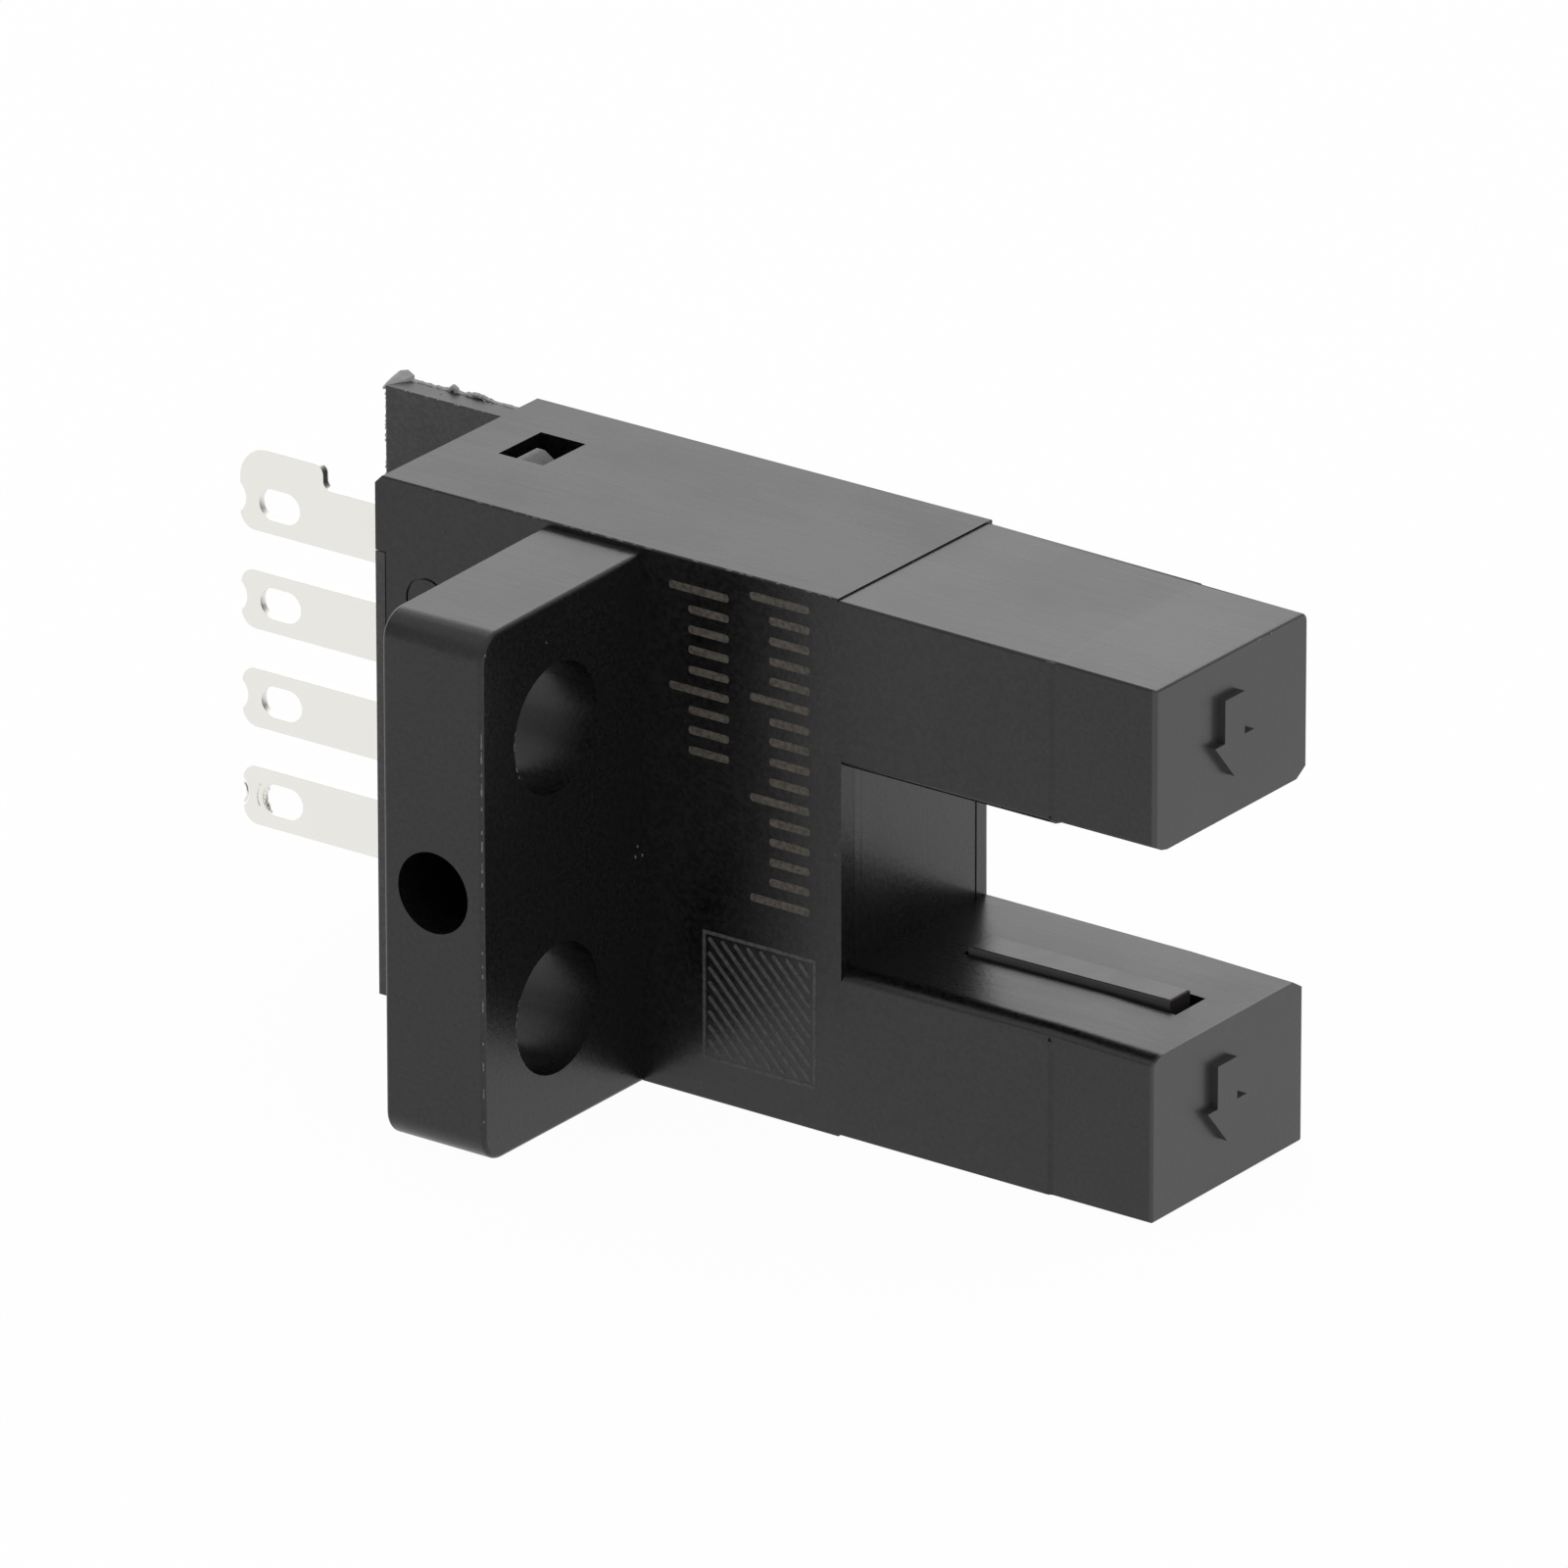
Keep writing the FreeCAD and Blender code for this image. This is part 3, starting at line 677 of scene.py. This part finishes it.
# %% The guard plate's flash
GUARD_NEAR, GUARD_FAR, GUARD_TOP, GUARD_REAR = 8.4, 9.1, 6.7, -8.34
RIDGE_POINTS, RIDGE_PITCH = 46, 0.072
HUMPS = ((-6.80, 0.12, 0.13), (-6.05, 0.28, 0.09))                # x, width and height of each


def guard_lip(shape):
    """Curled lip over the plate's rear top corner: the hull of a row of balls and of its foot."""
    rear, near, far, top = GUARD_REAR, GUARD_NEAR, GUARD_FAR, GUARD_TOP
    crest = [(rear - 0.03, near - 0.02, top - 0.06, 0.04), (rear - 0.05, near + 0.15, top, 0.04),
             (rear - 0.04, near + 0.38, top + 0.08, 0.04), (rear, far - 0.12, top + 0.15, 0.04),
             (rear + 0.14, far - 0.02, top + 0.17, 0.04), (rear + 0.3, far - 0.02, top + 0.08, 0.04)]
    foot = [(rear + 0.05, near + 0.2, top - 0.02, 0.03), (rear + 0.3, far - 0.08, top - 0.02, 0.04)]
    balls = [v for x, y, z, radius in crest + foot for v in add_ball(shape, (x, y, z), radius)]
    close_hull(shape, balls)


def guard_ridge(shape):
    """Ragged ridge along the far top edge, and crumbs on the top and at its near and rear edge."""
    points = []
    for k in range(RIDGE_POINTS):
        x = GUARD_REAR + 0.3 + k * RIDGE_PITCH
        hump = sum(high * math.exp(-((x - at) / wide) ** 2) for at, wide, high in HUMPS)
        ragged = 0.03 * noise.noise(Vector((x * 9, 0.3, 0.7)))
        thick = 0.06 + 0.02 * random.random()
        points.append((x, GUARD_FAR - 0.07, GUARD_TOP - 0.03 + hump + ragged, thick))
    add_ridge(shape, points)
    on_top = GUARD_TOP - 0.015
    across = (GUARD_NEAR + 0.25, GUARD_FAR - 0.1)
    add_crumbs(shape, 10, ((GUARD_REAR + 0.2, -5.0), across, on_top), (0.02, 0.045))
    add_crumbs(shape, 14, ((GUARD_REAR + 0.1, -5.2), GUARD_NEAR + 0.01, on_top), (0.015, 0.025))
    add_crumbs(shape, 60, (GUARD_REAR, GUARD_NEAR + 0.02, (1.5, GUARD_TOP - 0.1)), (0.02, 0.045))


new_piece("guard_lip_flash", guard_lip, torn_and_sheen_pbt)
new_piece("guard_edge_flash", guard_ridge, torn_and_sheen_pbt)

# %% [markdown]
# ## Light edges: painted highlights and wear
# Edges turn lighter in short broken lines, painted highlight where they catch the light and some
# wear where they rub against their neighbours in the tray: the flange's edges, the rims of its
# screw holes and the tops' edges. A few grains of dust lie on the flange's front face. Each path
# is given with the width of its grains, their step and the share of the steps that have one.

# %% Light edges of the housing: painted highlights and wear
FLANGE_OUT = -2.85                       # y of the flange's outer edge
HOLE_HEIGHT, HOLE_RIM = 3.5, 1.61
SPECKS = ((2.86, 3.03, -0.73, 0.07), (2.88, 3.28, -0.77, 0.06), (2.86, 3.12, -0.5, 0.05),
          (2.86, -2.71, 6.18, 0.05), (2.86, -0.37, 5.73, 0.04), (8.34, 3.36, 0.57, 0.06))


def hole_rim(height):
    return [(FLANGE_FRONT, y, z) for y, z in arc((0, height), HOLE_RIM, 150, 225, 14)]


def housing_highlights_and_wear(shape):
    front, out = FLANGE_FRONT - 0.03, FLANGE_OUT + 0.03
    # paths of light grains: painted highlights along the edges, with some wear
    for path, width, step, share in (
            ([(front, out, -5.6), (front, out, 5.6)], 0.045, 0.16, 0.4),
            ([(front, FLANGE_OUT + 0.5, 6.38), (front, 3.3, 6.52)], 0.045, 0.18, 0.6),
            (hole_rim(HOLE_HEIGHT), 0.022, 0.14, 0.6),
            (hole_rim(-HOLE_HEIGHT), 0.022, 0.14, 0.6),
            ([(-4.6, 3.37, 6.88), (8.2, 3.37, 6.88)], 0.036, 0.18, 0.35),
            ([(9.0, 9.42, 6.70), (17.2, 9.40, 6.58)], 0.022, 0.2, 0.25),
            ([(17.26, 3.5, 6.68), (17.26, 9.2, 6.68)], 0.022, 0.16, 0.35)):
        add_highlight_and_wear(shape, path, width, step, share)
    # grains of dust on the flange's front face
    for x, y, z, size in SPECKS:
        add_grain(shape, (x, y, z), Vector((0, 0.3, 1)), size * 1.5, size, size * 0.6)


new_piece("housing_edge_highlights_and_wear", housing_highlights_and_wear, highlight_and_wear_pbt)

# %% [markdown]
# ## Thin lands on the slot's end wall
# The wall at the slot's closed end meets the near side in a crisp line, and a strip along
# its far edge stands slightly proud, as a sliding core of the mould leaves them. Each is a
# block whose front side slants by a few hundredths of a millimetre: a cube is made in
# place, then the vertices of that side are moved.

# %% The slot's end wall: its near edge and its far strip
SLOT_END = 8.55


def add_wedge(shape, low, high, near_x, far_x):
    """Block from low to high. Its +X side runs from near_x at its near side to far_x at its
    far side."""
    size = [h - l for l, h in zip(low, high)]
    middle = [(h + l) / 2 for l, h in zip(low, high)]
    place = Matrix.Translation(middle) @ Matrix.Diagonal((*size, 1))
    block = bmesh.ops.create_cube(shape, size=1.0, matrix=place)
    for at_y, x in ((low[1], near_x), (high[1], far_x)):
        side = [v for v in block["verts"] if abs(v.co.y - at_y) < 1e-6 and v.co.x > middle[0]]
        bmesh.ops.translate(shape, vec=(x - high[0], 0, 0), verts=side)


def near_edge(shape):
    add_wedge(shape, (8.05, NEAR_FACE - 0.004, -2.64), (8.5, 4.1, 3.05),
              SLOT_END - 0.04, SLOT_END + 0.003)


def far_strip(shape):
    add_wedge(shape, (8.45, 8.62, -2.31), (8.5, 9.02, 2.71),
              SLOT_END + 0.02, SLOT_END + 0.002)


new_piece("slot_end_near_edge", near_edge, housing_pbt)
new_piece("slot_end_far_strip", far_strip, housing_pbt)

# %% [markdown]
# ## The tips
# The tips belong to another part of the mould, so each arm's near face steps in by 0.05 mm
# where its tip begins. A short ramp makes that step a soft line. The upper tip's top edge is
# slightly torn, which a thin ridge shows.

# %% Soft steps where the tips begin, and a torn top edge on the upper tip
STEP_RAMP = 0.17                         # how far the ramp runs onto the tip
TORN_POINTS, TORN_FROM, TORN_PITCH = 22, 6.9, 0.092


def tip_steps(shape):
    """Ramp from each arm's near face down to its tip's."""
    for low, high in ((2.97, 6.76), (-6.43, -2.61)):
        add_wedge(shape, (TIP_START - 0.1, NEAR_FACE + 0.003, low),
                  (TIP_START, NEAR_FACE + 0.07, high), TIP_START, TIP_START + STEP_RAMP)


def torn_edge(shape):
    points = []
    for k in range(TORN_POINTS):
        y = TORN_FROM + k * TORN_PITCH
        lift = 0.025 * noise.noise(Vector((y * 4, 0.2, 0.4)))
        points.append((TIP_END + 0.005 + lift, y, 6.655 + lift, 0.035 + 0.015 * random.random()))
    add_ridge(shape, points)


new_piece("tip_step_ramps", tip_steps, housing_pbt)
new_piece("upper_tip_torn_edge", torn_edge, housing_pbt)

# %% [markdown]
# ## A burr on the fourth terminal
# A worn punch leaves the lowest terminal with rolled-up metal: a thick curl beside its end
# and thin ones by the wire hole. Each is a ridge along an arc on the strip's face.

# %% The bent end of the fourth terminal
STRIP_FACE, FOURTH_HEIGHT = 6.275, -3.55                          # y of the face, z of the strip
# for each curl: x of the arc's centre, radius, first and last angle, y above the face, thickness
BURRS = ((-10.03, 0.42, 128, 232, 0.07, 0.07), (-10.24, 0.40, 140, 215, 0.0, 0.02),
         (-11.22, 0.30, -45, 45, 0.0, 0.03))
BURR_STEPS, BURR_TALL = 12, 1.15         # an arc is this much taller than a circle's


def terminal_burr(shape):
    """Rolled-up metal beside the notch and the wire hole."""
    for x, radius, first, last, y, thick in BURRS:
        curl = arc((x, 0), radius, first, last, BURR_STEPS)
        add_ridge(shape, [(across, STRIP_FACE + y, FOURTH_HEIGHT + BURR_TALL * up,
                           thick * random.uniform(0.85, 1.15)) for across, up in curl])


new_piece("fourth_terminal_burr", terminal_burr, terminal_tin)

# %% [markdown]
# ## Floor and backdrop
# The sensor stands on a plain pale floor in an all-white room. A black part shows only what
# it mirrors, so what the floor shows to the camera and what it shows to the part are told
# apart by the kind of ray. To the camera it is almost white, with a faint shadow left from
# its own shading. The part mirrors it as a glow with painted shade, dimmer at the front left.

# %% Floor
WHITE_SHARE = 0.97                       # the rest of the floor's look is its own shading
FLOOR_IN_FRONT = 0.96                    # painted shade: as the part mirrors it, it is dimmer at the front left
FRONT_LEFT_TO_BACK_RIGHT = (0.59, 0.81, 0.0)
FLOOR_HALF, FLOOR_DROP = 3.0, 0.02 * MM


def white_ground():
    material, tree, shader, place = new_material("white paper sweep")
    fibre = spots_of(tree, place, 8, 3.0)
    linked(tree, shader, Base_Color=mixed(tree, fibre, colour("#f4f4f4"), colour("#fafafa")))
    shader.inputs["Roughness"].default_value = 0.9
    rays = node(tree, "ShaderNodeLightPath").outputs
    seen = maths(tree, "MAXIMUM", rays["Is Camera Ray"], rays["Is Transmission Ray"])
    seen = maths(tree, "MAXIMUM", seen, rays["Is Glossy Ray"])
    across = node(tree, "ShaderNodeVectorMath", {"operation": "DOT_PRODUCT"}, _0=place,
                  _1=FRONT_LEFT_TO_BACK_RIGHT).outputs["Value"]
    mirrored = ramp(tree, across, -10 * MM, 20 * MM, FLOOR_IN_FRONT, 1.0)
    level = mixed_value(tree, rays["Is Glossy Ray"], 1.0, mirrored)
    glow = node(tree, "ShaderNodeEmission", Color=(1, 1, 1, 1), Strength=level).outputs[0]
    share = maths(tree, "MULTIPLY", seen, WHITE_SHARE)
    blend = node(tree, "ShaderNodeMixShader", _0=share, _1=shader.outputs[0], _2=glow).outputs[0]
    tree.links.new(blend, tree.nodes["Material Output"].inputs["Surface"])
    return material


floor_z = solid_box[0][2] - FLOOR_DROP
floor_shape = bmesh.new()
bmesh.ops.create_grid(floor_shape, x_segments=2, y_segments=2, size=FLOOR_HALF)
bmesh.ops.translate(floor_shape, verts=floor_shape.verts, vec=(0, 0, floor_z))
floor_mesh = bpy.data.meshes.new("floor")
floor_shape.to_mesh(floor_mesh)
floor_shape.free()
floor = bpy.data.objects.new("floor", floor_mesh)
bpy.context.collection.objects.link(floor)
floor_mesh.materials.append(white_ground())
print("floor at", round(floor_z / MM, 2), "mm")

# %% [markdown]
# ## The room
# The room's light is told by what the housing mirrors. The tops mirror the back, where a
# large soft source stands, brightest at about 30 degrees above the floor. The round corners
# mirror the ceiling and the front, which are half as bright, and the sides, which are dark.
# The level is worked out from the direction alone: how high it points, and how far it points
# to the back, away from the camera. The camera itself sees plain white.

# %% Room light
BACK_LOW, BACK_HIGH, FRONT_LIGHT, SIDE_LIGHT, CEILING_LIGHT = 1.16, 2.05, 0.7, 0.2, 0.85
TO_THE_BACK = (-0.588, 0.809, 0.0)
world = bpy.data.worlds.new("white room")
bpy.context.scene.world = world
world.use_nodes = True
room = world.node_tree
toward = node(room, "ShaderNodeTexCoord").outputs["Generated"]
height = node(room, "ShaderNodeSeparateXYZ", Vector=toward).outputs["Z"]
to_back = node(room, "ShaderNodeVectorMath", {"operation": "DOT_PRODUCT"}, _0=toward,
               _1=TO_THE_BACK).outputs["Value"]
soft_source = ramp(room, height, 0.25, 0.48, BACK_LOW, BACK_HIGH)
level = mixed_value(room, ramp(room, to_back, 0.3, 0.8, 0.0, 1.0), SIDE_LIGHT, soft_source)
level = mixed_value(room, ramp(room, to_back, -0.25, 0.1, 1.0, 0.0), level, FRONT_LIGHT)
level = mixed_value(room, ramp(room, height, 0.54, 0.68, 0.0, 1.0), level, CEILING_LIGHT)
level = mixed_value(room, node(room, "ShaderNodeLightPath").outputs["Is Camera Ray"], level, 1.0)
sky = room.nodes["Background"]
sky.inputs["Color"].default_value = (1, 1, 1, 1)
room.links.new(level, sky.inputs["Strength"])
print("room light from", SIDE_LIGHT, "to", BACK_HIGH)
